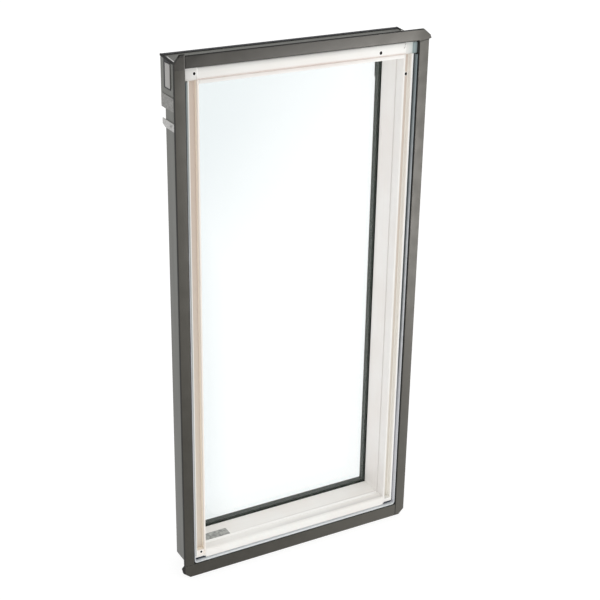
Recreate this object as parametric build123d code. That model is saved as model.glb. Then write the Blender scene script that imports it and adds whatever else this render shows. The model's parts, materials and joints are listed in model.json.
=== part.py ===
from build123d import *
import os

os.makedirs("parts", exist_ok=True)

# Deck seal, four lapped strips whose flat room-side face lies on the roof deck at y = 0
seal_w = 606.0
seal_h = 1238.0
seal_t = 6.0
seal_overhang = 17.0
seal_corner = 14.0
seal_bevel = 0.8
seal_flap = 6.0
lap_skew = 2.0
lap_rise = 3.0
lip_h = 6.5
lip_deep = 4.0

# Wood frame widths, from the cladding in to the reveal
shoulder_w = 13.8
outer_ridge = 4.5
groove_w = 17.5
inner_ridge = 6.0
step = 2.0
seat_w = 19.0

# Wood frame depths, from the deck seal towards the weather side
face_back = 2.0
shoulder_deep = 16.0
step_deep = 28.0
frame_deep = 75.8
seat_rise = 9.2
groove_deep = 15.0
nose_recess = 2.0

# Wood frame heights, from the reveal outwards
tongue = 6.0
ledge_drop = 2.0
head_h = 34.5
sill_face_h = 22.0
nose_short = 4.0
left_groove_stop = 18.5
right_groove_stop = 9.0
sill_drop = 19.0
rail_line = 2.0
rail_line_deep = 4.0
arris = 1.5
ridge_round = 1.2
rail_round = 3.5
sill_round = 3.5

# Screw holes, from the nearest edge or middle of what they are drilled in
screw_hole_r = 2.6
screw_hole_deep = 12.0
right_hole_in = 5.3
right_hole_drop = 47.5
left_hole_in = 14.6
left_hole_drop = 5.6
rail_hole_in = 16.5
rail_hole_drop = 13.0
second_hole_in = 58.2
second_hole_drop = 17.0

# Bead in the gap between the wood and the deck seal
bead_gap = 3.4
bead_w = 2.0
bead_clear = 2.2
bead_under = 3.0
bead_over_seal = 0.6
bead_short = 1.0
bead_r = 7.0

# Sealed glass unit
glass_clear = 4.0
pane_in = 5.0
pane_out = 3.0
pane_gap = 14.0
gasket_t = 2.0
sealant_w = 10.0
spacer_w = 9.5

# Sheet cladding, glazing caps and covers
sheet = 1.2
cap_sheet = 1.5
seat_lap = 1.0
cap_cover = 18.0
cap_set_in = 3.0
cap_lap = 6.0
head_rise = 8.0
head_reach = 21.0
head_bend_back = 33.0

# Corner plates on pads, cover clips and straps on the outer sides
pad_t = 0.8
pad_w = 33.0
pad_h = 56.0
pad_lap = 4.0
pad_under = 1.0
plate_t = 1.5
plate_far = 10.0
plate_low = 4.0
plate_high = 2.0
clip_gap = 13.0
clip_h = 29.0
clip_reach = 18.0
clip_back = 45.0
clip_r = 5.0
cover_below = 2.0
strap_t = 2.0
strap_w = 17.0
strap_gap = 22.5
strap_clear = 8.0
strap_reach = 13.0
strap_bevel = 5.0
strap_hole_r = 2.5
strap_hole_back = 28.0

# Half widths from the centre line
seal_half_w = seal_w / 2
clad_half = seal_half_w - seal_overhang
wood_half = clad_half - sheet
face_half = wood_half - shoulder_w
groove_out = face_half - outer_ridge
groove_in = groove_out - groove_w
reveal = groove_in - inner_ridge
front = reveal + step
rebate_half = reveal + seat_w
glass_half = rebate_half - glass_clear
spacer_out = glass_half - sealant_w
spacer_in = spacer_out - spacer_w
bead_in = face_half + bead_gap
bead_out = bead_in + bead_w
seal_in = bead_out + bead_clear
cap_tip = glass_half - cap_cover
cap_foot = clad_half - cap_set_in

# Depths from the deck plane
y_face = seal_t + face_back
y_nose = y_face + nose_recess
y_shoulder = y_face + shoulder_deep
y_groove = y_face + groove_deep
y_step = y_face + step_deep
y_wood_back = y_face + frame_deep
y_clad_far = y_wood_back + sheet
y_glass_seat = y_wood_back + seat_rise
y_glass = y_glass_seat + gasket_t
y_gap = y_glass + pane_in
y_outer = y_gap + pane_gap
y_weather = y_outer + pane_out
y_cap = y_weather + cap_sheet
y_head = y_cap + 2 * cap_sheet
head_edge_y = y_clad_far + head_reach
head_bend_y = y_clad_far - head_bend_back

# Heights from the middle; the frame is taller than wide by the same amount at every ring
rise = (seal_h - seal_w) / 2
seal_half_h = seal_h / 2
z_reveal = reveal + rise
z_front = front + rise
z_rebate = rebate_half + rise
z_glass = glass_half + rise
z_spacer_out = spacer_out + rise
z_spacer_in = spacer_in + rise
z_cap_foot = cap_foot + rise
z_rail_joint = z_reveal + tongue
z_ledge = z_reveal - ledge_drop
z_rail_line = z_rail_joint + rail_line
z_clad_top = z_reveal + head_h
z_wood_top = z_clad_top - cap_sheet
z_sill_face = -z_reveal - sill_face_h
z_stile_nose = z_sill_face + nose_short
z_left_groove = z_stile_nose + left_groove_stop
z_right_groove = z_stile_nose + right_groove_stop
z_clad_bottom = z_sill_face - sill_drop
z_wood_bottom = z_clad_bottom + sheet
bead_bottom = z_sill_face - bead_under - bead_w
top_in = seal_half_h - (seal_half_w - seal_in)
sill_in = bead_bottom - bead_over_seal
head_edge_z = z_clad_top + head_rise
pad_low = z_wood_top - pad_h
clip_high = pad_low - clip_gap
clip_low = clip_high - clip_h
cover_end = clip_low - cover_below
strap_high = cover_end - strap_gap
strap_low = strap_high - strap_w

# The origin is on the middle of the bottom strip's flat face
lift = (seal_half_h - sill_in) / 2


def section(points, rounds=()):
    """Closed outline, with the corners named in rounds filleted."""
    face = make_face(Polyline(*points, close=True))
    for point, radius in rounds:
        corner = face.vertices().sort_by_distance(Vector(*point))[0]
        face = fillet(corner, radius)
    return face


def upright(points, z_low, z_high, rounds=()):
    """Bar standing along Z, its outline given as (x, y)."""
    return Pos(0, 0, z_low) * extrude(section(points, rounds), z_high - z_low)


def level(points, x_low, x_high, rounds=()):
    """Bar lying along X, its outline given as (y, z)."""
    return Pos(x_low, 0, 0) * extrude(Plane.YZ * section(points, rounds), x_high - x_low)


def plate(points, y_low, y_high):
    """Flat piece facing the room, its outline given as (x, z)."""
    face = Plane.XZ * section(points)
    return Pos(0, y_low, 0) * extrude(face, -(y_high - y_low))


def block(x, y, z):
    """Box between pairs of limits."""
    size = (x[1] - x[0], y[1] - y[0], z[1] - z[0])
    middle = ((x[1] + x[0]) / 2, (y[1] + y[0]) / 2, (z[1] + z[0]) / 2)
    return Pos(*middle) * Box(*size)


def mirrored(solid):
    """The same piece on the other side."""
    return mirror(solid, about=Plane.YZ)


def ring(half_out, half_in, z_out, z_in, y_low, y_high, round_out=0.0):
    """Rectangular ring with its limits given as half widths and (low, high) heights."""
    outer = block((-half_out, half_out), (y_low, y_high), z_out)
    inner = block((-half_in, half_in), (y_low, y_high), z_in)
    if round_out:
        outer = fillet(outer.edges().filter_by(Axis.Y), round_out)
        inner = fillet(inner.edges().filter_by(Axis.Y), round_out - (half_out - half_in))
    return outer - inner


def mitred(whole, half, z_low, z_high):
    """Cut a ring into four sides along the diagonals of its corners."""
    reach = seal_w / 8
    corners = {
        "top": [(-half - reach, z_high + reach), (half + reach, z_high + reach),
                (half - reach, z_high - reach), (-half + reach, z_high - reach)],
        "right": [(half + reach, z_high + reach), (half + reach, z_low - reach),
                  (half - reach, z_low + reach), (half - reach, z_high - reach)],
        "bottom": [(half + reach, z_low - reach), (-half - reach, z_low - reach),
                   (-half + reach, z_low + reach), (half - reach, z_low + reach)],
        "left": [(-half - reach, z_low - reach), (-half - reach, z_high + reach),
                 (-half + reach, z_high - reach), (-half + reach, z_low + reach)],
    }
    return {side: whole & plate(points, 0, y_head) for side, points in corners.items()}


def offset_path(path, thickness):
    """Points at an equal distance to the right of each leg of a path."""
    legs = []
    for a, b in zip(path, path[1:]):
        run = (Vector(*b) - Vector(*a)).normalized()
        side = Vector(run.Y, -run.X) * thickness
        legs.append((Vector(*a) + side, Vector(*b) + side))
    points = [legs[0][0]]
    for (a, b), (c, d) in zip(legs, legs[1:]):
        u = b - a
        v = d - c
        gap = c - a
        along = (gap.X * v.Y - gap.Y * v.X) / (u.X * v.Y - u.Y * v.X)
        points.append(a + u * along)
    points.append(legs[-1][1])
    return [(p.X, p.Y) for p in points]


def folded(path, thickness):
    """Outline of a bent sheet that lies to the right of its path."""
    return path + offset_path(path, thickness)[::-1]


def hole(x, z, y_floor):
    """Small screw hole drilled from the room side."""
    drill = Cylinder(screw_hole_r, screw_hole_deep * 2)
    return Pos(x, y_floor, z) * Rot(90, 0, 0) * drill


def strip(points):
    """Deck seal strip with its room-side edges eased."""
    flat = plate(points, 0, seal_t)
    return chamfer(flat.edges().group_by(Axis.Y)[0], seal_bevel)


parts = {}

# Stiles: reveal with a step, outer shoulder and the seat for the glass, the same over the whole length
stile_back = [
    (front, y_step), (reveal, y_step), (reveal, y_glass_seat), (rebate_half, y_glass_seat),
    (rebate_half, y_wood_back), (wood_half, y_wood_back), (wood_half, y_shoulder), (face_half, y_shoulder),
]
# The room-side face has a lining groove between two ridges, and ends in a nose level with the outer one
grooved = stile_back + [
    (face_half, y_nose), (groove_out, y_nose), (groove_out, y_groove), (groove_in, y_groove),
    (groove_in, y_face), (front, y_face),
]
plain = stile_back + [(face_half, y_nose), (groove_in, y_nose), (groove_in, y_face), (front, y_face)]
inner_rounds = [((front, y_face), arris), ((groove_in, y_face), ridge_round), ((reveal, y_step), step / 2)]
outer_rounds = [((face_half, y_nose), ridge_round), ((groove_out, y_nose), ridge_round)]


def stile(z_groove):
    """Stile of the right side, with its groove running down to a given height."""
    bar = upright(grooved, z_groove, z_rail_joint, inner_rounds + outer_rounds)
    bar += upright(plain, z_wood_bottom, z_groove, inner_rounds)
    bar -= block((reveal, wood_half), (0, y_shoulder), (z_wood_bottom, z_stile_nose))
    bar -= block((reveal, rebate_half), (y_wood_back, y_glass), (z_wood_bottom, -z_rebate))
    return bar


right_hole = hole(groove_out - right_hole_in, z_rail_joint - right_hole_drop, y_groove)
left_hole = hole(left_hole_in - face_half, z_left_groove - left_hole_drop, y_nose)
parts["right_stile"] = stile(z_right_groove) - right_hole
parts["left_stile"] = mirrored(stile(z_left_groove)) - left_hole

# Top rail: runs over the stiles, with a tongue between them and a line along its face
line_deep = y_face + rail_line_deep
rail_points = [
    (y_face, z_ledge), (y_face, z_rail_joint), (line_deep, z_rail_joint), (line_deep, z_rail_line),
    (y_face, z_rail_line), (y_face, z_wood_top), (y_wood_back, z_wood_top), (y_wood_back, z_rebate),
    (y_glass_seat, z_rebate), (y_glass_seat, z_reveal), (y_step, z_reveal), (y_step, z_ledge),
]
rail_rounds = [((y_face, z_ledge), arris)]
rail_rounds += [((y_face, z), rail_round) for z in (z_rail_line, z_wood_top)]
top_rail = level(rail_points, -wood_half, wood_half, rail_rounds)
rail_end = block((reveal, wood_half), (y_step, y_glass), (z_ledge, z_rail_joint))
rail_end += block((front, wood_half), (0, y_step), (z_ledge, z_rail_joint))
rail_end += block((bead_out, wood_half), (0, y_shoulder), (z_rail_joint, z_wood_top))
rail_end += block((rebate_half, wood_half), (y_wood_back, y_glass), (z_rail_joint, z_wood_top))
# The face's ends are cut back behind the stiles' ridges
rail_end += block((groove_in, wood_half), (0, y_nose), (z_rail_joint, z_wood_top))
top_rail -= rail_end
top_rail -= mirrored(rail_end)
top_rail -= hole(rail_hole_in - face_half, z_wood_top - rail_hole_drop, y_nose)
top_rail -= hole(reveal - second_hole_in, z_wood_top - second_hole_drop, y_face)
parts["top_rail"] = top_rail

# Bottom rail: fits between the stiles, flat on its room face
sill_points = [
    (y_face, -z_front), (y_step, -z_front), (y_step, -z_reveal), (y_glass_seat, -z_reveal),
    (y_glass_seat, -z_rebate), (y_wood_back, -z_rebate), (y_wood_back, z_wood_bottom),
    (y_shoulder, z_wood_bottom), (y_shoulder, z_sill_face), (y_face, z_sill_face),
]
sill_rounds = [((y_face, -z_front), sill_round), ((y_step, -z_reveal), step / 2)]
bottom_rail = level(sill_points, -front, front, sill_rounds)
sill_end = block((reveal, front), (y_step, y_glass), (z_wood_bottom, -z_reveal))
sill_end += block((reveal, front), (y_shoulder, y_step), (z_wood_bottom, z_stile_nose))
bottom_rail -= sill_end
bottom_rail -= mirrored(sill_end)
parts["bottom_rail"] = bottom_rail

# Deck seal: each strip runs past the end of the next one, and two ends stand out as flaps
flap_out = seal_half_w + seal_flap
flap_mid = seal_half_w + seal_flap / 2
corner_out = seal_half_w - seal_corner
corner_up = seal_half_h - seal_corner
joint_in = (seal_in, top_in - lap_skew)
joint_out = (seal_half_w, top_in + lap_skew / 2)
right_strip = strip([
    joint_in, joint_out, (seal_half_w, -corner_up), (corner_out, -seal_half_h), (seal_in, -seal_half_h)])
left_strip = strip([
    (-seal_in, sill_in), (-seal_half_w, sill_in), (-seal_half_w, corner_up),
    (-corner_out, seal_half_h + lap_rise), (-seal_in, seal_half_h + lap_rise)])
top_strip = strip([
    (-seal_in, top_in), (-seal_in, seal_half_h), (corner_out, seal_half_h), (flap_mid, corner_up),
    (flap_out, top_in + seal_flap / 2), joint_out, joint_in, (seal_in - lap_skew, top_in)])
bottom_strip = strip([
    (seal_in, sill_in), (seal_in, -seal_half_h), (-corner_out, -seal_half_h), (-flap_mid, -corner_up),
    (-flap_out, sill_in - seal_flap), (-seal_half_w, sill_in)])
side_leg = [(seal_in, seal_t), (wood_half, seal_t), (wood_half, y_shoulder), (seal_in, y_shoulder)]
right_leg = upright(side_leg, z_wood_bottom, z_wood_top)
left_leg = mirrored(upright(side_leg, sill_in, z_wood_top))
top_leg = block((-seal_in, seal_in), (seal_t, seal_t + lip_deep), (z_clad_top, z_clad_top + lip_h))
sill_leg = block((-seal_in, seal_in), (seal_t, y_shoulder), (z_wood_bottom, sill_in))
parts["right_seal"] = right_strip + right_leg
parts["left_seal"] = left_strip + left_leg
parts["top_seal"] = top_strip + top_leg
parts["bottom_seal"] = bottom_strip + sill_leg

# Bead in the gap, round at its two lower corners, with its legs ending under the top rail
bead = ring(bead_out, bead_in, (bead_bottom, z_wood_top), (bead_bottom + bead_w, z_wood_top - bead_w),
            seal_t / 2, y_shoulder, bead_r)
bead -= block((-bead_out, bead_out), (0, y_shoulder), (z_rail_joint - bead_short, z_wood_top))
bead_sides = mitred(bead, bead_out, bead_bottom, z_wood_top)
for side in ("right", "bottom", "left"):
    parts[side + "_bead"] = bead_sides[side]

# Sealed glass unit on its gasket
pane_z = (-z_glass, z_glass)
spacer_z = (-z_spacer_out, z_spacer_out)
parts["inner_pane"] = block((-glass_half, glass_half), (y_glass, y_gap), pane_z)
parts["outer_pane"] = block((-glass_half, glass_half), (y_outer, y_weather), pane_z)
spacer = ring(spacer_out, spacer_in, spacer_z, (-z_spacer_in, z_spacer_in), y_gap, y_outer)
for side, piece in mitred(spacer, spacer_out, -z_spacer_out, z_spacer_out).items():
    parts[side + "_spacer"] = piece
sealant = ring(glass_half, spacer_out, pane_z, spacer_z, y_gap, y_outer)
for side, piece in mitred(sealant, glass_half, -z_glass, z_glass).items():
    parts[side + "_edge_seal"] = piece
gasket = ring(glass_half, reveal, pane_z, (-z_reveal, z_reveal), y_glass_seat, y_glass)
for side, piece in mitred(gasket, glass_half, -z_glass, z_glass).items():
    parts[side + "_gasket"] = piece

# Sheet cladding on the sides and the sill, folded over the back of the wood
fold = rebate_half + seat_lap
skin = [(clad_half, seal_t), (clad_half, y_clad_far), (fold, y_clad_far), (fold, y_wood_back),
        (wood_half, y_wood_back), (wood_half, seal_t)]
side_skin = upright(skin, z_wood_bottom, z_wood_top)
parts["right_cladding"] = side_skin
parts["left_cladding"] = mirrored(side_skin)
z_fold = -z_rebate - seat_lap
sill_skin = [
    (seal_t, z_clad_bottom), (y_clad_far, z_clad_bottom), (y_clad_far, z_fold), (y_wood_back, z_fold),
    (y_wood_back, z_wood_bottom), (seal_t, z_wood_bottom),
]
sill_cladding = level(sill_skin, -clad_half, clad_half)
parts["sill_cladding"] = sill_cladding - side_skin - mirrored(side_skin)

# Glazing caps over the glass edge, mitred at the sill
cap_outline = folded([(cap_tip, y_cap), (rebate_half, y_cap), (cap_foot, y_clad_far)], cap_sheet)
cap_outline = [(x, max(y, y_clad_far)) for x, y in cap_outline]
sill_outline = [(y, -x - rise) for x, y in cap_outline]
sill_wedge = plate([(0, -rise), (-cap_foot, -z_cap_foot), (cap_foot, -z_cap_foot)], 0, y_head)
side_cap = upright(cap_outline, -z_cap_foot, cover_end + cap_lap) - sill_wedge
parts["sill_cap"] = level(sill_outline, -cap_foot, cap_foot) & sill_wedge
parts["right_cap"] = side_cap
parts["left_cap"] = mirrored(side_cap)

# Head cover: sloping skin over the top rail, a hood down onto the glass edge and plates that close its ends
head_rise_all = head_edge_z - clad_half
head_edge = (head_edge_y, head_edge_z)
head_bend = (head_bend_y, z_clad_top)
hood_path = [(y_head, cap_tip + head_rise_all), (y_head, rebate_half + head_rise_all), head_edge, head_bend,
             (seal_t, z_clad_top)]
head_skin = level(folded(hood_path, -cap_sheet), -clad_half, clad_half)
head_mitre = plate(
    [(0, head_rise_all), (-clad_half, head_edge_z), (clad_half, head_edge_z)], y_clad_far, y_head + cap_sheet)
above_wood = block((-clad_half, clad_half), (0, head_edge_y), (z_wood_top, head_edge_z + cap_sheet))
head_slope = head_rise / (head_edge_y - head_bend_y)
slope_far = head_slope * head_bend_back
end_points = [
    (head_bend_y, z_wood_top), (y_clad_far, z_wood_top), (y_clad_far, z_clad_top + slope_far), head_bend,
]
end_plate = level(end_points, clad_half - cap_sheet, clad_half)
hood = head_skin & (head_mitre + above_wood)
parts["head_cover"] = hood + end_plate + mirrored(end_plate)

# Covers at the top corners run from the hood down over the caps
cover_path = [(cap_tip, y_head), (rebate_half, y_head), (clad_half, head_edge_y), (clad_half, y_clad_far)]
side_cover = upright(folded(cover_path, cap_sheet), cover_end, head_edge_z)
right_cover = (side_cover - head_mitre - hood).solids().sort_by(SortBy.VOLUME)[-1]
parts["right_corner_cover"] = right_cover
parts["left_corner_cover"] = mirrored(right_cover)

# Corner plates on dark pads, cover clips and straps on the outer sides
pad_far = y_clad_far + pad_lap
pad_near = pad_far - pad_w
pad_high_far = z_clad_top - pad_under + head_slope * (pad_far - head_bend_y)
pad_high_near = z_clad_top - pad_under + head_slope * (pad_near - head_bend_y)
pad_points = [(pad_near, pad_low), (pad_far, pad_low), (pad_far, pad_high_far), (pad_near, pad_high_near)]
pad = level(pad_points, clad_half, clad_half + pad_t)
plate_x = clad_half + pad_t
corner_plate = block((plate_x, plate_x + plate_t), (pad_near, pad_far - plate_far),
                     (pad_low + plate_low, z_wood_top - plate_high))
clip_far = y_clad_far + clip_reach
clip = block((clad_half, clad_half + plate_t), (y_clad_far - clip_back, clip_far), (clip_low, clip_high))
clip = fillet(clip.edges().filter_by(Axis.X).group_by(Axis.Y)[-1], clip_r)
strap_near = seal_t + strap_clear
strap_far = y_clad_far + strap_reach
strap = level([(strap_near, strap_low), (y_clad_far, strap_low), (strap_far, strap_low + strap_bevel),
               (strap_far, strap_high), (strap_near, strap_high)], clad_half, clad_half + strap_t)
strap_drill = Rot(0, 90, 0) * Cylinder(strap_hole_r, 2 * strap_w)
strap -= Pos(clad_half, y_clad_far - strap_hole_back, strap_low + strap_w / 2) * strap_drill
side_pieces = {"corner_pad": pad, "corner_plate": corner_plate, "cover_clip": clip, "strap": strap}
for name, piece in side_pieces.items():
    parts["right_" + name] = piece
    parts["left_" + name] = mirrored(piece)

for name, piece in parts.items():
    export_step(Pos(0, 0, lift) * piece, "parts/" + name + ".step")
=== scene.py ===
import json
import math

import bmesh
import bpy
from mathutils import Matrix, Vector


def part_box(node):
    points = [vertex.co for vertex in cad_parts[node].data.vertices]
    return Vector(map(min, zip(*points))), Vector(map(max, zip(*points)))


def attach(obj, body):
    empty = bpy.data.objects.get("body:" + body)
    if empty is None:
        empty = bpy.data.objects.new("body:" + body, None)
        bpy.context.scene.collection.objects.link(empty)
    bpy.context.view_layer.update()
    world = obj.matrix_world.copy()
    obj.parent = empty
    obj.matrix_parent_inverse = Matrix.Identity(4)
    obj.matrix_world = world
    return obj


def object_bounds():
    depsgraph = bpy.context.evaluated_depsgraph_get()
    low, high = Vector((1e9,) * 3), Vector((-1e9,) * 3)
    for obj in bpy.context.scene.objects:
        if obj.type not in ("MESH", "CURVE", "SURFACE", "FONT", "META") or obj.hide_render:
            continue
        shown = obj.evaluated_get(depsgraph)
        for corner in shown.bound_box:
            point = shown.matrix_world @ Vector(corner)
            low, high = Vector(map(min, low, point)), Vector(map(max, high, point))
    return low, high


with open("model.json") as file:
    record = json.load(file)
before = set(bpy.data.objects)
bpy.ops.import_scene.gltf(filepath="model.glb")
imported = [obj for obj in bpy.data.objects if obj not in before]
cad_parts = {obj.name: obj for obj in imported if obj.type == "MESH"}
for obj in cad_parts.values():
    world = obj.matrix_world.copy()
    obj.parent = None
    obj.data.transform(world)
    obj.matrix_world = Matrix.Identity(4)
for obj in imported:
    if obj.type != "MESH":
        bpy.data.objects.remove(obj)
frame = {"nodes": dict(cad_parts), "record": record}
cad_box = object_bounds()
nodes = frame["nodes"]
sides = ("top", "right", "bottom", "left")
scene = bpy.context.scene
MM = 0.001

# Camera fitted to the photograph's edges: place in metres, angles in degrees, focal length in pixels
CAMERA_PLACE = Vector((-1.36227, -2.41029, 1.88062))
CAMERA_TURN = -29.324
CAMERA_DOWN = 24.177
CAMERA_ROLL = 1.003
FOCAL_PIXELS = 1353.0
IMAGE_PIXELS = 600
SENSOR_MM = 36.0

# White studio: an even dome, a bright floor, and two panels that only show in the deck seal
WHITE = (1, 1, 1, 1)
DOME_STRENGTH = 0.95
FLOOR_SIZE = 40.0
FLOOR_GLOW = 0.82
FLOOR_GREYS = ((0.23, 0.23, 0.23, 1), (0.25, 0.25, 0.25, 1))
SHEEN_PLACE = Vector((3.0, -2.2, 0.3))
SHEEN_SIZE = (1.3, 0.9)
SHEEN_WATTS = 98.0
LOW_SHEEN_PLACE = Vector((1.15, -1.15, 0.05))
LOW_SHEEN_SIZE = (0.8, 1.3)
LOW_SHEEN_WATTS = 58.0

# Places in the part, read from the frame
part_middle = (cad_box[0] + cad_box[1]) / 2
sill_low, sill_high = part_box("bottom_rail")
rail_low, rail_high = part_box("top_rail")
pane_low, pane_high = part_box("outer_pane")
cap_low, cap_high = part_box("right_cap")
strap_low, strap_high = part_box("right_strap")
seal_low, seal_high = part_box("right_seal")
right_stile_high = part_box("right_stile")[1]
left_stile_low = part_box("left_stile")[0]
sill_bead_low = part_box("bottom_bead")[0]
side_bead_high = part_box("right_bead")[1]
top_edge_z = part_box("top_seal")[1].z
head_end_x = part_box("head_cover")[1].x
openings = {o["name"]: o["box_m"] for o in frame["record"]["physics"]["openings"]}
groove_low, groove_high = (Vector(corner) for corner in openings["right_lining_groove"])

# Depths of the wood's faces: rail and inner ridge, nose and outer ridge, groove floor, step in the reveal
face_depth = rail_low.y
nose_depth = face_depth + 2 * MM
floor_depth = groove_high.y + 0.5 * MM
step_depth = face_depth + 28 * MM

# The top rail's ends are cut back from here, and its line runs this far below its upper edge
rail_end_x = groove_low.x - 0.5 * MM
line_drop = 26 * MM

# Middle lines of the deck seal's side and end strips, and how strongly its facing bows
end_strip_inset = 13 * MM
seal_middle_x = (seal_low.x + seal_high.x) / 2
seal_middle_z = cad_box[1].z - part_middle.z - end_strip_inset
SEAL_BOW = 1.2

# Screw holes in the wood as (x, z, depth of their face, radius), each from a corner of its piece
HALO_WIDTH = 2.3 * MM
HOLE_TALL = 1.2
rail_holes = [(rail_low.x + 30.3 * MM, rail_high.z - 13 * MM, nose_depth, 2.8 * MM),
              (rail_high.x - 100 * MM, rail_high.z - 17 * MM, face_depth, 3.2 * MM)]
right_stile_holes = [(right_stile_high.x - 23.6 * MM, right_stile_high.z - 47.5 * MM, floor_depth, 3.0 * MM)]
left_stile_holes = [(left_stile_low.x + 28.4 * MM, left_stile_low.z + 34.7 * MM, nose_depth, 2.6 * MM)]


def srgb(red, green, blue):
    """Linear colour of a 0 to 255 screen colour."""
    def linear(value):
        share = value / 255
        return share / 12.92 if share <= 0.04045 else ((share + 0.055) / 1.055) ** 2.4
    return (linear(red), linear(green), linear(blue), 1.0)


# Tones of painted highlight, of screw holes with the painted shade in them, and of painted black shade, and
# the span in which most of a noise lies
PAINTED_HIGHLIGHT = srgb(255, 254, 251)
HOLE_RING = srgb(250, 249, 246)
HOLE_DARK = srgb(20, 16, 11)
SHADE_BLACK = srgb(12, 12, 11)
NOISE_SPAN = (0.3, 0.7)

# Colour sockets of the mix node: its two inputs and its output
MIX_FIRST, MIX_SECOND, MIX_RESULT = 6, 7, 2


class Finish:
    """A material with one Principled shader, and short calls that add nodes in front of it."""

    def __init__(self, name, roughness, metallic=0.0):
        self.material = bpy.data.materials.new(name)
        self.material.use_nodes = True
        self.tree = self.material.node_tree
        self.shader = self.tree.nodes["Principled BSDF"]
        self.set("Roughness", roughness)
        self.set("Metallic", metallic)
        self.place = self.add("ShaderNodeTexCoord").outputs["Object"]
        split = self.add("ShaderNodeSeparateXYZ")
        self.feed(split.inputs[0], self.place)
        self.x, self.y, self.z = split.outputs
        self.colour = WHITE

    def add(self, kind, **settings):
        """A new node with its properties set."""
        node = self.tree.nodes.new(kind)
        for key, value in settings.items():
            setattr(node, key, value)
        return node

    def feed(self, socket, value):
        """Link a socket to another node's output, or set its constant."""
        if isinstance(value, bpy.types.NodeSocket):
            self.tree.links.new(value, socket)
        else:
            socket.default_value = value

    def set(self, name, value):
        """Feed one of the Principled shader's sockets."""
        self.feed(self.shader.inputs[name], value)

    def noise(self, per_metre, detail=3.0, distort=0.0):
        """Noise with one number of cycles to the metre, or one each along x, y and z."""
        spread = self.add("ShaderNodeMapping")
        self.feed(spread.inputs["Vector"], self.place)
        self.feed(spread.inputs["Scale"], (per_metre,) * 3 if isinstance(per_metre, float) else per_metre)
        cloud = self.add("ShaderNodeTexNoise")
        self.feed(cloud.inputs["Vector"], spread.outputs[0])
        self.feed(cloud.inputs["Scale"], 1.0)
        self.feed(cloud.inputs["Detail"], detail)
        self.feed(cloud.inputs["Distortion"], distort)
        return cloud.outputs["Fac"]

    def cells(self, per_metre):
        """Random grey of each cell, as on galvanised steel."""
        cell = self.add("ShaderNodeTexVoronoi")
        self.feed(cell.inputs["Vector"], self.place)
        self.feed(cell.inputs["Scale"], per_metre)
        grey = self.add("ShaderNodeSeparateColor")
        self.feed(grey.inputs[0], cell.outputs["Color"])
        return grey.outputs[0]

    def math(self, operation, first, second=0.0):
        """One sum on one or two values."""
        node = self.add("ShaderNodeMath", operation=operation)
        self.feed(node.inputs[0], first)
        self.feed(node.inputs[1], second)
        return node.outputs[0]

    def both(self, *factors):
        """Product of factors."""
        product = factors[0]
        for factor in factors[1:]:
            product = self.math("MULTIPLY", product, factor)
        return product

    def smooth(self, value, low, high, to_low=0.0, to_high=1.0):
        """Smooth step of a value from one range to another."""
        node = self.add("ShaderNodeMapRange", interpolation_type="SMOOTHSTEP")
        for name, limit in zip(("From Min", "From Max", "To Min", "To Max"), (low, high, to_low, to_high)):
            self.feed(node.inputs[name], limit)
        self.feed(node.inputs["Value"], value)
        return node.outputs[0]

    def between(self, value, low, high, soft):
        """One between two limits and zero outside, with soft ends."""
        return self.both(self.smooth(value, low - soft, low), self.smooth(value, high, high + soft, 1.0, 0.0))

    def mix(self, factor, first, second):
        """Colour between two colours."""
        node = self.add("ShaderNodeMix", data_type="RGBA")
        self.feed(node.inputs[0], factor)
        self.feed(node.inputs[MIX_FIRST], first)
        self.feed(node.inputs[MIX_SECOND], second)
        return node.outputs[MIX_RESULT]

    def tint(self, factor, colour):
        """Bring the finish nearer to another colour by a factor."""
        self.colour = self.mix(factor, self.colour, colour)

    def rough(self, cloud, low, high):
        """Roughness between two limits, after a noise."""
        self.set("Roughness", self.smooth(cloud, *NOISE_SPAN, low, high))

    def bump(self, height, depth_mm):
        """Relief of so many millimetres on the surface."""
        node = self.add("ShaderNodeBump")
        self.feed(node.inputs["Height"], height)
        self.feed(node.inputs["Distance"], depth_mm * MM)
        self.set("Normal", node.outputs[0])

    def finished(self):
        """Material with its colour in place."""
        self.set("Base Color", self.colour)
        return self.material


class Paint(Finish):
    """White paint on pine, with the grain faintly telegraphing along one axis of the piece."""

    def __init__(self, name, along, white):
        super().__init__(name, roughness=0.4)
        grain_scale = [140.0, 140.0, 140.0]
        grain_scale[along] = 5.0
        grain = self.noise(grain_scale, detail=5.0, distort=0.4)
        blotch = self.noise(9.0)
        warm = srgb(*(level - drop for level, drop in zip(white, (3, 5, 6))))
        wear_and_shade = srgb(*(level - drop for level, drop in zip(white, (8, 11, 13))))
        self.colour = self.mix(self.smooth(blotch, 0.35, 0.65), srgb(*white), warm)
        self.tint(self.smooth(grain, 0.45, 0.75, 0.0, 0.2), wear_and_shade)
        self.rough(grain, 0.36, 0.48)
        self.bump(grain, 0.04)

    def drill(self, holes):
        """Each screw hole is painted dark inside as painted shade, in a lighter ring."""
        for hole_x, hole_z, face, radius in holes:
            across = self.math("SUBTRACT", self.x, hole_x)
            upward = self.math("DIVIDE", self.math("SUBTRACT", self.z, hole_z), HOLE_TALL)
            squares = self.math("ADD", self.both(across, across), self.both(upward, upward))
            reach = self.math("SQRT", squares)
            level = self.math("GREATER_THAN", self.y, face - 0.5 * MM)
            self.tint(self.both(level, self.smooth(reach, radius, radius + HALO_WIDTH, 0.7, 0.0)), HOLE_RING)
            self.tint(self.both(level, self.math("LESS_THAN", reach, radius)), HOLE_DARK)


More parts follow.
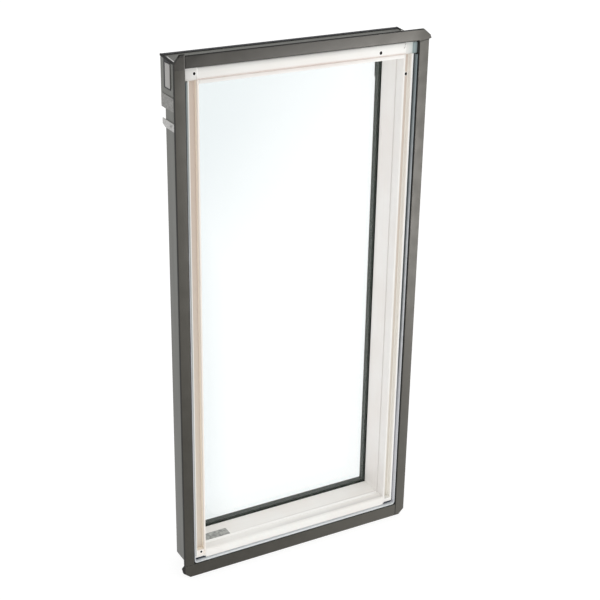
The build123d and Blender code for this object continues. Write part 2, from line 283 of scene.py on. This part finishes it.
def tint_groove(paint, across, height, floors, wall, ridge_tone):
    """Bare wall of a lining groove, its floor in bare wood tones with painted shade, and the inner ridge's
    tone towards it, lifted to a painted highlight on the right stile.
    """
    groove = paint.between(across, groove_low.x - 0.6 * MM, groove_high.x + 0.2 * MM, 0.1 * MM)
    groove = paint.both(groove, height)
    paint.tint(paint.both(groove, paint.smooth(paint.y, nose_depth + MM, nose_depth + 4 * MM)), wall)
    floor = paint.mix(paint.smooth(paint.z, groove_low.z, groove_high.z), *floors)
    paint.tint(paint.both(groove, paint.smooth(paint.y, floor_depth - MM, floor_depth - 0.5 * MM)), floor)
    to_groove = paint.smooth(across, groove_low.x - 6 * MM, groove_low.x, 0.0, 0.8)
    ridge = paint.smooth(paint.y, face_depth, nose_depth + 4 * MM, 1.0, 0.0)
    paint.tint(paint.both(to_groove, ridge, height), ridge_tone)


def tint_reveal(paint, across):
    """Painted shade: the reveal is greyer in front of its step, with a darker line along the step itself."""
    inside = paint.smooth(across, groove_low.x - 5 * MM, groove_low.x - 4 * MM, 1.0, 0.0)
    before_step = paint.between(paint.y, nose_depth + 2 * MM, step_depth - MM, MM)
    paint.tint(paint.both(inside, before_step, 0.7), srgb(230, 229, 226))
    on_step = paint.between(paint.y, step_depth - 0.5 * MM, step_depth + MM, 1.5 * MM)
    paint.tint(paint.both(on_step, 0.5), srgb(210, 206, 203))


def tint_outer_ridge(paint, across, height, floor_highlight, far_shade):
    """Painted highlight on the outer ridge and run in to the groove's outer side, and painted shade along the
    ridge's far side.
    """
    ridge = paint.smooth(across, groove_high.x + 0.2 * MM, groove_high.x + 0.5 * MM)
    front = paint.smooth(paint.y, nose_depth + 4 * MM, nose_depth + 6 * MM, 1.0, 0.0)
    paint.tint(paint.both(ridge, height, front), PAINTED_HIGHLIGHT)
    highlight_in = paint.between(across, groove_high.x - 0.6 * MM, groove_high.x + 0.2 * MM, 1.8 * MM)
    paint.tint(paint.both(highlight_in, height, floor_highlight), srgb(255, 253, 247))
    far_side = paint.smooth(across, groove_high.x + 1.8 * MM, groove_high.x + 3 * MM)
    paint.tint(paint.both(far_side, height, far_shade), srgb(150, 155, 147))


def stile_paint(name, side, white, floors, wall, ridge_tone, floor_highlight, far_shade, holes):
    """Stile: its lining groove is cut after painting, and the groove's floor is darker to the top; painted
    shade and highlight lie on the groove, the reveal and the outer ridge.
    """
    paint = Paint(name, 2, white)
    across = paint.math("MULTIPLY", paint.x, side)
    height = paint.between(paint.z, groove_low.z - 14 * MM, groove_high.z + 2 * MM, 2 * MM)
    tint_groove(paint, across, height, floors, wall, ridge_tone)
    tint_reveal(paint, across)
    tint_outer_ridge(paint, across, height, floor_highlight, far_shade)
    paint.drill(holes)
    return paint.finished()


def top_rail_paint(white):
    """Top rail: painted shade towards its line, its upper edge and its cut-back ends, lighter to the right
    and darker to the left.
    """
    paint = Paint("painted_top_rail", 0, white)
    from_middle = paint.math("ABSOLUTE", paint.x)
    below_top = paint.math("SUBTRACT", rail_high.z, paint.z)
    front = paint.smooth(paint.y, nose_depth + MM, nose_depth + 4 * MM, 1.0, 0.0)
    to_right = paint.smooth(paint.x, 0.0, rail_end_x)
    paint.tint(paint.both(to_right, front, 0.8), srgb(255, 254, 250))
    fading = paint.smooth(to_right, 0.0, 1.0, 1.0, 0.5)
    # Painted shade along the line
    line = paint.between(below_top, line_drop - 2 * MM, line_drop + 3 * MM, 5 * MM)
    paint.tint(paint.both(line, front, fading, 0.48), srgb(230, 216, 208))
    # Painted shadow of the seal along the upper edge
    upper_edge = paint.smooth(below_top, MM, 13 * MM, 0.7, 0.0)
    paint.tint(paint.both(upper_edge, front, fading), srgb(200, 199, 196))
    to_left = paint.smooth(paint.x, rail_low.x, 0.0, 0.6, 0.0)
    paint.tint(paint.both(to_left, front), srgb(226, 225, 221))
    # The ends are cut back, with painted light on them: a grey face and a dark lower edge of painted shade, a
    # painted highlight at the corner, and a blue-grey right end of painted shade
    ends = paint.smooth(from_middle, rail_end_x - 2 * MM, rail_end_x + MM)
    paint.tint(paint.both(ends, 0.5), srgb(222, 221, 217))
    lower_edge = paint.smooth(below_top, 25 * MM, 34 * MM, 0.0, 0.6)
    paint.tint(paint.both(ends, lower_edge), srgb(196, 190, 183))
    corner = paint.between(from_middle, rail_end_x - MM, rail_end_x + MM, MM)
    paint.tint(paint.both(corner, paint.smooth(below_top, 12 * MM, 25 * MM, 1.0, 0.0)), PAINTED_HIGHLIGHT)
    right_end = paint.smooth(paint.x, rail_end_x, rail_high.x - 10 * MM)
    paint.tint(paint.both(right_end, front, 0.8), srgb(196, 208, 205))
    paint.drill(rail_holes)
    return paint.finished()


def sill_paint(white):
    """Bottom rail: a painted shade line behind its step, a painted highlight on its crest, and painted shade
    near the front, most to the right.
    """
    paint = Paint("painted_bottom_rail", 0, white)
    shade_weak_x = -170 * MM
    shade_strong_x = 30 * MM
    behind_step = paint.between(paint.y, step_depth + 4.5 * MM, step_depth + 6.5 * MM, MM)
    step_shade = paint.both(behind_step, paint.smooth(paint.x, shade_weak_x, shade_strong_x, 0.1, 0.45))
    paint.tint(step_shade, srgb(208, 203, 198))
    crest = paint.between(paint.y, step_depth - 3 * MM, step_depth + 2.5 * MM, 1.5 * MM)
    paint.tint(crest, PAINTED_HIGHLIGHT)
    shade_front = face_depth + 7 * MM
    wear_and_shade = paint.both(paint.smooth(paint.y, shade_front - 2 * MM, shade_front),
                      paint.smooth(paint.y, shade_front, shade_front + 16 * MM, 0.6, 0.0))
    paint.tint(paint.both(wear_and_shade, paint.smooth(paint.x, shade_weak_x, shade_strong_x, 0.1, 1.0)), srgb(208, 206, 202))
    return paint.finished()


def colour_seal(finish, mottle, grit, behind):
    """Grey facing on dark foam, with painted shade that darkens its upper left corner most and painted light
    that lightens its lower right one most.
    """
    x, z = finish.x, finish.z
    from_left = finish.math("ADD", x, seal_high.x)
    from_top = finish.math("SUBTRACT", top_edge_z, z)
    from_corner = finish.math("ADD", from_left, from_top)
    finish.colour = finish.mix(mottle, srgb(50, 48, 42), srgb(61, 59, 53))
    # Painted shade at the upper left corner, painted light towards the lower right
    finish.tint(finish.smooth(from_corner, 30 * MM, 110 * MM, 0.9, 0.0), srgb(18, 17, 14))
    finish.tint(finish.smooth(from_corner, 1300 * MM, 1850 * MM, 0.0, 0.75), srgb(84, 82, 76))
    # Painted light and shade: the left strip is a little lighter to its top, and the top one darker to its
    # left
    on_left = finish.math("LESS_THAN", x, -seal_low.x)
    on_top = finish.math("GREATER_THAN", z, rail_high.z - MM)
    upward = finish.smooth(z, part_middle.z - 300 * MM, part_middle.z, 0.0, 0.6)
    finish.tint(finish.both(on_left, upward), srgb(70, 68, 62))
    finish.tint(finish.both(on_top, finish.smooth(x, 0.0, seal_low.x, 0.55, 0.0)), SHADE_BLACK)
    # Painted shade along two edges, beside the left strip's lap over the top one, and at the lower right seam
    left_edge = finish.smooth(x, -seal_high.x, -seal_high.x + 2 * MM, 1.0, 0.0)
    upper_edge = finish.smooth(z, top_edge_z - 2.6 * MM, top_edge_z - 1.4 * MM)
    beside_lap = finish.smooth(x, -seal_low.x + MM, -seal_low.x + 4 * MM, 0.8, 0.0)
    lap = finish.both(beside_lap, finish.math("GREATER_THAN", x, -seal_low.x), on_top)
    seam = finish.both(finish.math("GREATER_THAN", x, seal_low.x - 1.8 * MM),
                       finish.math("LESS_THAN", x, seal_low.x + 0.6 * MM),
                       finish.math("LESS_THAN", z, sill_bead_low.z))
    dark = left_edge
    for mark in (upper_edge, lap, seam):
        dark = finish.math("MAXIMUM", dark, mark)
    finish.tint(dark, SHADE_BLACK)
    # Painted highlight on the lapping strip's own edge
    rim = finish.smooth(x, -seal_low.x - 3 * MM, -seal_low.x - 1.5 * MM, 0.0, 0.75)
    finish.tint(finish.both(rim, on_left, on_top), srgb(104, 102, 98))
    # The foam behind is black along the upper edge as painted shade
    foam = finish.mix(grit, srgb(40, 41, 40), srgb(58, 59, 58))
    finish.tint(behind, finish.mix(upper_edge, foam, SHADE_BLACK))


def dull_seal(finish, mottle, behind):
    """Satin facing, duller to the right and most so at the right strip's top, on matt foam."""
    wear_and_shade = finish.smooth(mottle, *NOISE_SPAN, 0.31, 0.39)
    to_right = finish.smooth(finish.x, -seal_high.x, seal_high.x, 0.0, 0.09)
    on_right = finish.smooth(finish.x, 0.9 * seal_low.x, seal_high.x, 0.0, 0.14)
    upward = finish.smooth(finish.z, cad_box[0].z, top_edge_z, 0.3, 1.0)
    facing = finish.math("ADD", finish.math("ADD", wear_and_shade, to_right), finish.both(on_right, upward))
    finish.set("Roughness", finish.math("MAXIMUM", facing, finish.both(behind, 0.9)))


def bow_seal(finish, grit):
    """Facing that bows up a little between its edges, under a fine grit."""
    from_side = finish.math("SUBTRACT", finish.math("ABSOLUTE", finish.x), seal_middle_x)
    height = finish.math("ABSOLUTE", finish.math("SUBTRACT", finish.z, part_middle.z))
    from_end = finish.math("SUBTRACT", height, seal_middle_z)
    from_middle = finish.math("MAXIMUM", from_side, from_end)
    bow = finish.both(from_middle, from_middle, -SEAL_BOW)
    metre = 1 / MM
    finish.bump(finish.math("ADD", bow, finish.both(grit, 0.06 * MM)), metre)


def deck_seal():
    """Satin grey facing on dark foam, with a faint mottle."""
    finish = Finish("deck_seal_facing", roughness=0.45)
    finish.set("Specular IOR Level", 0.36)
    finish.set("Specular Tint", (1.0, 0.96, 0.9, 1.0))
    mottle = finish.noise(30.0, detail=4.0)
    grit = finish.noise(900.0, detail=2.0)
    behind = finish.smooth(finish.y, 0.15 * MM, 0.5 * MM)
    colour_seal(finish, mottle, grit, behind)
    dull_seal(finish, mottle, behind)
    bow_seal(finish, grit)
    return finish.finished()


def lacquered_sheet(name, end_shade):
    """Grey lacquer on aluminium sheet, with a faint orange peel and draw lines, and painted shade at its
    ends.
    """
    finish = Finish(name, roughness=0.45)
    streak = finish.noise((60.0, 60.0, 3.0))
    peel = finish.noise(500.0, detail=1.0)
    low_sheet = finish.mix(streak, srgb(83, 83, 79), srgb(93, 93, 89))
    high_sheet = finish.mix(streak, srgb(88, 89, 84), srgb(100, 100, 95))
    finish.colour = finish.mix(finish.smooth(finish.z, cad_box[0].z, cad_box[1].z), low_sheet, high_sheet)
    to_end = finish.smooth(finish.math("ABSOLUTE", finish.x), cap_low.x, cap_high.x)
    to_fold = finish.smooth(finish.y, 15 * MM, 75 * MM, 1.0, 0.3)
    finish.tint(finish.both(to_end, to_fold, end_shade), srgb(24, 20, 17))
    finish.rough(streak, 0.4, 0.5)
    finish.bump(peel, 0.05)
    return finish.finished()


def moulded_bead(name, low_front, high_front, low_deep, high_deep):
    """Moulded strip with tones at the front and down in its gap, below and above, that are painted light and
    shade.
    """
    finish = Finish(name, roughness=0.35)
    cloud = finish.noise(40.0, detail=2.0)
    front = finish.mix(finish.smooth(finish.z, part_middle.z, cad_box[1].z), low_front, high_front)
    deep = finish.mix(finish.smooth(finish.z, sill_high.z + 100 * MM, part_middle.z), low_deep, high_deep)
    finish.colour = finish.mix(finish.smooth(finish.y, 4 * MM, 12 * MM), front, deep)
    finish.tint(finish.smooth(cloud, *NOISE_SPAN, 0.0, 0.25), deep)
    finish.rough(cloud, 0.3, 0.42)
    finish.bump(cloud, 0.05)
    return finish.finished()


def even_bead(name, front, deep):
    """Moulded strip with the same tones over its whole height."""
    return moulded_bead(name, front, front, deep, deep)


def dark_strip(name, first, second, roughness):
    """Dark strip with a fine grain: spacer, sealant, gasket or pad."""
    finish = Finish(name, roughness)
    finish.set("Specular IOR Level", 0.22)
    grain = finish.noise(300.0, detail=2.0)
    finish.colour = finish.mix(grain, first, second)
    finish.rough(grain, roughness - 0.05, roughness + 0.08)
    finish.bump(grain, 0.05)
    return finish.finished()


def grey_plastic():
    """Light grey moulded plastic with a fine matt grain."""
    finish = Finish("grey_plastic", roughness=0.5)
    grain = finish.noise(700.0, detail=2.0)
    cloud = finish.noise(50.0)
    finish.colour = finish.mix(cloud, srgb(144, 143, 140), srgb(162, 160, 158))
    finish.rough(cloud, 0.45, 0.55)
    finish.bump(grain, 0.04)
    return finish.finished()


def galvanised_steel(name, dark, light):
    """Zinc-coated steel with its spangle and a few stains."""
    finish = Finish(name, roughness=0.4, metallic=0.5)
    stain = finish.noise(90.0, detail=4.0)
    finish.colour = finish.mix(finish.cells(500.0), dark, light)
    finish.tint(finish.smooth(stain, 0.45, 0.75, 0.0, 0.4), dark)
    finish.rough(stain, 0.38, 0.5)
    finish.bump(stain, 0.03)
    return finish.finished()


def label_foil():
    """Bare satin foil."""
    finish = Finish("label_foil", roughness=0.45, metallic=0.2)
    brushed = finish.noise((20.0, 900.0, 20.0), detail=2.0)
    cloud = finish.noise((160.0, 110.0, 160.0), detail=2.0)
    finish.colour = finish.mix(finish.smooth(cloud, 0.35, 0.65), srgb(146, 147, 144), srgb(190, 191, 186))
    finish.tint(finish.smooth(brushed, 0.4, 0.8, 0.0, 0.3), srgb(182, 182, 178))
    finish.rough(brushed, 0.4, 0.5)
    finish.bump(brushed, 0.02)
    return finish.finished()


def clear_glass():
    """Pane glass with a faint blue tint, greyed by a painted reflection most to the upper left corner and
    some down the left side.
    """
    finish = Finish("clear_glass", roughness=0.0)
    film = finish.noise(3.0, detail=1.0)
    clear = finish.mix(film, srgb(253, 255, 255), srgb(254, 255, 255))
    reflection_tint = finish.mix(film, srgb(239, 243, 244), srgb(244, 247, 247))
    pane = pane_high - pane_low
    from_side = finish.math("DIVIDE", finish.math("SUBTRACT", finish.x, pane_low.x), pane.x)
    from_top = finish.math("DIVIDE", finish.math("SUBTRACT", pane_high.z, finish.z), 0.52 * pane.z)
    corner = finish.smooth(finish.math("ADD", from_side, from_top), 0.15, 1.35, 1.0, 0.0)
    edge = finish.smooth(from_side, 0.05, 0.3, 0.75, 0.0)
    finish.colour = finish.mix(finish.math("MAXIMUM", corner, edge), clear, reflection_tint)
    finish.set("Transmission Weight", 1.0)
    finish.set("IOR", 1.45)
    finish.set("Specular IOR Level", 0.2)
    # Open to diffuse and shadow rays, so that light passes it freely
    open_way = finish.add("ShaderNodeBsdfTransparent")
    rays = finish.add("ShaderNodeLightPath")
    surface = finish.shader.outputs[0]
    for kind in ("Is Diffuse Ray", "Is Shadow Ray"):
        choice = finish.add("ShaderNodeMixShader")
        finish.feed(choice.inputs[0], rays.outputs[kind])
        finish.feed(choice.inputs[1], surface)
        finish.feed(choice.inputs[2], open_way.outputs[0])
        surface = choice.outputs[0]
    finish.feed(finish.tree.nodes["Material Output"].inputs["Surface"], surface)
    return finish.finished()


def white_floor():
    """Softly glowing matt white."""
    finish = Finish("white_floor", roughness=0.9)
    finish.colour = finish.mix(finish.noise(0.6), *FLOOR_GREYS)
    finish.set("Emission Color", WHITE)
    finish.set("Emission Strength", FLOOR_GLOW)
    return finish.finished()


def all_round(kind):
    """Names of the four nodes of a kind that run round the frame."""
    return [side + "_" + kind for side in sides]


def left_and_right(kind):
    """Names of the two nodes of a kind."""
    return ["left_" + kind, "right_" + kind]


def dress(material, names):
    """Give CAD nodes their finish."""
    for name in names:
        slots = nodes[name].data.materials
        slots.clear()
        slots.append(material)


def piece(name, mesh, material):
    """A new piece of the scene that rides on the part."""
    obj = bpy.data.objects.new(name, mesh)
    scene.collection.objects.link(obj)
    mesh.materials.append(material)
    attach(obj, "root")


def mesh_from(name, shape):
    """Finished mesh of a bmesh, with its normals outwards."""
    bmesh.ops.recalc_face_normals(shape, faces=shape.faces)
    mesh = bpy.data.meshes.new(name)
    shape.to_mesh(mesh)
    shape.free()
    return mesh


def rounded_plate(name, width, length, thickness, radius):
    """Thin plate with round corners and an eased upper edge, lying on z = 0."""
    steps = 6
    outline = []
    for corner in range(4):
        centre_x = (width / 2 - radius) * (1 if corner in (0, 3) else -1)
        centre_y = (length / 2 - radius) * (1 if corner in (0, 1) else -1)
        for i in range(steps + 1):
            angle = math.pi / 2 * (corner + i / steps)
            outline.append((centre_x + radius * math.cos(angle), centre_y + radius * math.sin(angle)))
    shape = bmesh.new()
    face = shape.faces.new([shape.verts.new((x, y, 0)) for x, y in outline])
    raised = bmesh.ops.extrude_face_region(shape, geom=[face])["geom"]
    top = [v for v in raised if isinstance(v, bmesh.types.BMVert)]
    bmesh.ops.translate(shape, verts=top, vec=(0, 0, thickness))
    rim = [e for e in shape.edges if all(v in top for v in e.verts)]
    bmesh.ops.bevel(shape, geom=rim, offset=thickness * 0.4, segments=2, affect="EDGES")
    return mesh_from(name, shape)


def tube(name, rings):
    """Skin over rings of points that all have the same count, with its ends filled."""
    shape = bmesh.new()
    loops = [[shape.verts.new(point) for point in ring] for ring in rings]
    shape.faces.new(loops[0][::-1])
    shape.faces.new(loops[-1])
    for near, far in zip(loops, loops[1:]):
        for i in range(len(near)):
            j = (i + 1) % len(near)
            shape.faces.new((near[i], near[j], far[j], far[i]))
    return mesh_from(name, shape)


def screw_head(radius):
    """Pan head with a six-lobed socket, standing on z = 0."""
    steps = 36
    lobes = 6
    socket_lobe = 0.14
    # Rings from the foot over the crown into the socket, in shares of the radius: reach, height, lobe
    profile = [(1.0, 0.0, 0.0), (1.0, 0.12, 0.0), (0.92, 0.26, 0.0), (0.72, 0.36, 0.0),
               (0.46, 0.4, socket_lobe), (0.42, 0.36, socket_lobe), (0.4, 0.2, socket_lobe)]
    rings = []
    for reach, height, lobe in profile:
        ring = []
        for i in range(steps):
            angle = 2 * math.pi * i / steps
            far = radius * reach * (1 + lobe * math.cos(lobes * angle))
            ring.append((far * math.cos(angle), far * math.sin(angle), radius * height))
        rings.append(ring)
    return tube("screw_head", rings)


def wire(points, radius):
    """Round wire bent through points."""
    steps = 8
    turns = [2 * math.pi * k / steps for k in range(steps)]
    rings = []
    for i, point in enumerate(points):
        ahead = (points[min(i + 1, len(points) - 1)] - points[max(i - 1, 0)]).normalized()
        aside = ahead.orthogonal().normalized()
        third = ahead.cross(aside)
        rings.append([point + radius * (math.cos(t) * aside + math.sin(t) * third) for t in turns])
    return tube("wire", rings)


def joined(name, meshes):
    """One mesh of several."""
    shape = bmesh.new()
    for mesh in meshes:
        shape.from_mesh(mesh)
        bpy.data.meshes.remove(mesh)
    return mesh_from(name, shape)


def put(mesh, place, outward):
    """Move a mesh made on z = 0 to a place, with its z pointing outward."""
    turn = Vector(outward).to_track_quat("Z", "Y").to_matrix().to_4x4()
    mesh.transform(Matrix.Translation(place) @ turn)
    return mesh


def make_camera():
    """Camera at the photograph's place."""
    turn, down, roll = (math.radians(a) for a in (CAMERA_TURN, CAMERA_DOWN, CAMERA_ROLL))
    ahead = Vector((-math.sin(turn) * math.cos(down), math.cos(turn) * math.cos(down), -math.sin(down)))
    right = ahead.cross(Vector((0, 0, 1))).normalized()
    up = right.cross(ahead)
    tilted_right = math.cos(roll) * right + math.sin(roll) * up
    tilted_up = math.cos(roll) * up - math.sin(roll) * right
    data = bpy.data.cameras.new("camera")
    data.sensor_width = SENSOR_MM
    data.lens = SENSOR_MM * FOCAL_PIXELS / IMAGE_PIXELS
    camera = bpy.data.objects.new("camera", data)
    axes = Matrix((tilted_right, tilted_up, -ahead)).transposed().to_4x4()
    camera.matrix_world = Matrix.Translation(CAMERA_PLACE) @ axes
    scene.collection.objects.link(camera)
    scene.camera = camera


def make_panel(name, place, size, watts, receivers):
    """Soft panel lamp facing the part, which lights its receivers' gloss alone."""
    lamp = bpy.data.lights.new(name, "AREA")
    lamp.shape = "RECTANGLE"
    lamp.size, lamp.size_y = size
    lamp.energy = watts
    panel = bpy.data.objects.new(name, lamp)
    panel.location = place
    panel.rotation_mode = "QUATERNION"
    panel.rotation_quaternion = (part_middle - place).to_track_quat("-Z", "Y")
    panel.visible_diffuse = False
    panel.visible_camera = False
    panel.light_linking.receiver_collection = receivers
    scene.collection.objects.link(panel)


def make_floor():
    """Plain floor under the part."""
    half = FLOOR_SIZE / 2
    corners = ((-half, -half), (half, -half), (half, half), (-half, half))
    shape = bmesh.new()
    shape.faces.new([shape.verts.new((x, y, cad_box[0].z)) for x, y in corners])
    floor = bpy.data.objects.new("floor", mesh_from("floor", shape))
    scene.collection.objects.link(floor)
    floor.data.materials.append(white_floor())


def make_studio():
    """White dome, two panels for the deck seal and a white floor."""
    world = bpy.data.worlds.new("dome")
    world.use_nodes = True
    background = world.node_tree.nodes["Background"]
    background.inputs["Color"].default_value = WHITE
    background.inputs["Strength"].default_value = DOME_STRENGTH
    scene.world = world
    satin = bpy.data.collections.new("satin_faces")
    for name in all_round("seal"):
        satin.objects.link(nodes[name])
    make_panel("sheen_panel", SHEEN_PLACE, SHEEN_SIZE, SHEEN_WATTS, satin)
    make_panel("low_sheen_panel", LOW_SHEEN_PLACE, LOW_SHEEN_SIZE, LOW_SHEEN_WATTS, satin)
    make_floor()
    scene.view_settings.view_transform = "Standard"


make_camera()
make_studio()

# Painted wood
# The pieces' whites differ as painted light and shade, to suit how brightly each is lit
left_wood = stile_paint("painted_left_stile", side=-1, white=(247, 246, 242),
                        floors=(srgb(225, 215, 203), srgb(216, 202, 191)), wall=srgb(255, 246, 232),
                        ridge_tone=srgb(248, 237, 226), floor_highlight=0.0, far_shade=0.7, holes=left_stile_holes)
right_wood = stile_paint("painted_right_stile", side=1, white=(240, 238, 235),
                         floors=(srgb(225, 219, 209), srgb(221, 208, 197)), wall=srgb(255, 255, 253),
                         ridge_tone=srgb(255, 255, 251), floor_highlight=0.9, far_shade=0.0, holes=right_stile_holes)
dress(left_wood, ["left_stile"])
dress(right_wood, ["right_stile"])
dress(top_rail_paint((250, 249, 245)), ["top_rail"])
dress(sill_paint((249, 248, 244)), ["bottom_rail"])

# Deck seal, and the beads in the gap inside it
dress(deck_seal(), all_round("seal"))
# The beads' tones are painted light and shade: light low down and on the sill, dark high up
side_bead = moulded_bead("side_bead", low_front=srgb(206, 208, 212), high_front=srgb(118, 131, 134),
                         low_deep=srgb(222, 223, 229), high_deep=srgb(112, 120, 122))
dress(side_bead, left_and_right("bead"))
dress(even_bead("sill_bead", srgb(238, 242, 244), srgb(240, 245, 248)), ["bottom_bead"])

# Glass unit and its gasket
dress(clear_glass(), ["inner_pane", "outer_pane"])
dress(dark_strip("spacer_bar", srgb(34, 46, 38), srgb(44, 56, 48), 0.5), all_round("spacer"))
dress(dark_strip("black_sealant", srgb(32, 39, 34), srgb(42, 49, 44), 0.5), all_round("edge_seal"))
dress(dark_strip("black_rubber", srgb(28, 33, 29), srgb(38, 43, 39), 0.55), all_round("gasket"))

# Sheet metal, and the pads, plates, clips and straps by its top corners
sheet = lacquered_sheet("lacquered_sheet", 0.0)
for kind in ("cladding", "cap", "corner_cover"):
    dress(sheet, left_and_right(kind))
dress(sheet, ["sill_cladding", "sill_cap"])
dress(lacquered_sheet("lacquered_head", 0.85), ["head_cover"])
foam = dark_strip("foam_pad", srgb(52, 52, 54), srgb(64, 64, 66), 0.7)
steel = galvanised_steel("strap_steel", srgb(160, 159, 157), srgb(186, 185, 183))
dress(foam, left_and_right("corner_pad"))
dress(grey_plastic(), left_and_right("corner_plate"))
dress(galvanised_steel("clip_steel", srgb(112, 111, 108), srgb(142, 141, 138)), left_and_right("cover_clip"))
dress(steel, left_and_right("strap"))

# Bare label plate on the sill, near its left end
label_wide = 74 * MM
label_deep = 26 * MM
label_place = Vector((sill_low.x + 5 * MM + label_wide / 2, sill_high.y - 40 * MM, sill_high.z))
label = rounded_plate("label_plate", label_wide, label_deep, thickness=0.4 * MM, radius=1.5 * MM)
piece("label_plate", put(label, label_place, (0, 0, 1)), label_foil())

# Tab that closes the bead's gap at the top rail's right end; its blue-grey tone is painted shade
tab_wide = 11 * MM
tab_tall = 24 * MM
tab_x = side_bead_high.x + 1.8 * MM - tab_wide / 2
tab_z = side_bead_high.z + 2 * MM + tab_tall / 2
tab = rounded_plate("bead_tab", tab_wide, tab_tall, thickness=1.6 * MM, radius=1.2 * MM)
put(tab, Vector((tab_x, nose_depth, tab_z)), (0, -1, 0))
piece("bead_tab", tab, even_bead("bead_tab", srgb(162, 178, 179), srgb(150, 166, 167)))

# Dark strips under the stiles' noses, which stand for the shadow in the gap there as painted shade
strip_wide = 29 * MM
strip_deep = 11 * MM
strip_tall = 5.5 * MM
strip_x = right_stile_high.x - 28.8 * MM
strip_y = face_depth + 7.6 * MM
nose_z = sill_bead_low.z + 9 * MM
strips = []
for side in (-1, 1):
    strip = rounded_plate("shadow_strip", strip_wide, strip_deep, thickness=strip_tall, radius=MM)
    strips.append(put(strip, Vector((side * strip_x, strip_y, nose_z)), (0, 0, -1)))
nose_shadow_strip = dark_strip("nose_shadow_strip", srgb(26, 35, 50), srgb(38, 47, 62), 0.7)
piece("nose_strips", joined("nose_strips", strips), nose_shadow_strip)

# Far edge of the head cover's slope, and the bend well in front of it
bend_ahead = 40 * MM
head = [v.co for v in nodes["head_cover"].data.vertices]
head_edge = max(head, key=lambda v: v.z)
head_bend = max((v for v in head if v.y < head_edge.y - bend_ahead), key=lambda v: v.z)
slope = Vector((0, head_edge.y - head_bend.y, head_edge.z - head_bend.z)).normalized()

# Dark strip along that edge
edge_wide = 10 * MM
edge_inset = 0.5 * MM
edge_trim = rounded_plate("head_edge_strip", 2 * cap_high.x, edge_wide, thickness=0.8 * MM, radius=MM)
edge_place = Vector((0, head_edge.y, head_edge.z)) - slope * (edge_wide / 2 + edge_inset)
piece("head_edge_strip", put(edge_trim, edge_place, (0, -slope.z, slope.y)), foam)

# Dark gasket folded over each end of the slope as painted shadow of the gap there, and a light hem on the
# cover short of its far edge as a painted highlight
hem_in = 4 * MM
hem_lift = 0.3 * MM
hem_radius = 1.2 * MM
hem_points = 4
# The gasket's section in millimetres, outwards and down from the cover's end
gasket_mm = [(-2.8, 0.1), (-2.8, -0.5), (-2.4, -0.8), (0.8, -0.8), (1.3, -0.3),
             (1.3, 3.1), (0.9, 3.6), (0.0, 3.6), (0.0, 0.1)]
slope_run = [head_bend + (head_edge - head_bend) * share for share in (0.0, 0.25, 0.5, 0.75, 1.0)]
hems = []
gaskets = []
for side in (-1, 1):
    hem_x = side * (head_end_x - hem_in)
    hems.append(wire([Vector((hem_x, p.y, p.z + hem_lift)) for p in slope_run[:hem_points]], hem_radius))
    rings = []
    for p in slope_run:
        rings.append([(side * (head_end_x + out * MM), p.y, p.z - drop * MM) for out, drop in gasket_mm])
    gaskets.append(tube("end_gasket", rings))
highlight_steel = galvanised_steel("hem_highlight", srgb(204, 203, 201), srgb(228, 227, 225))
piece("head_hems", joined("head_hems", hems), highlight_steel)
shadow_rubber = dark_strip("black_end_gasket", srgb(7, 6, 6), srgb(14, 13, 12), 0.6)
piece("head_end_shadow_gaskets", joined("head_end_shadow_gaskets", gaskets), shadow_rubber)

# Filler down in the line along the top rail, pinkish as painted shade of the line
filler_radius = 0.98 * MM
filler_depth = face_depth + 3 * MM
filler_z = rail_high.z - line_drop
filler_run = [Vector((share * rail_end_x, filler_depth, filler_z)) for share in (-1, -0.5, 0, 0.5, 1)]
shaded_filler = Paint("shaded_filler", 0, (252, 243, 238)).finished()
piece("rail_filler", wire(filler_run, filler_radius), shaded_filler)

# Two staples at the top rail's right end, each foot so far in and down from the rail's corner
staple_radius = 0.5 * MM
staple_feet_mm = ((41.3, 12.8), (39.1, 6.4))
crown = Vector((2.6 * MM, 0, 4 * MM))
proud = Vector((0, -0.5 * MM, 0))
staples = []
for inward, down in staple_feet_mm:
    foot = Vector((rail_high.x - inward * MM, face_depth, rail_high.z - down * MM))
    bends = [foot - 2 * proud, foot + proud, foot + crown + proud, foot + crown - 2 * proud]
    staples.append(wire(bends, staple_radius))
piece("rail_staples", joined("rail_staples", staples), steel)

# Screws through the straps
screw_radius = 3.6 * MM
screw_depth = strap_low.y + 43 * MM
screws = []
for side in (-1, 1):
    place = Vector((side * strap_high.x, screw_depth, (strap_low.z + strap_high.z) / 2))
    screws.append(put(screw_head(screw_radius), place, (side, 0, 0)))
piece("strap_screws", joined("strap_screws", screws), steel)
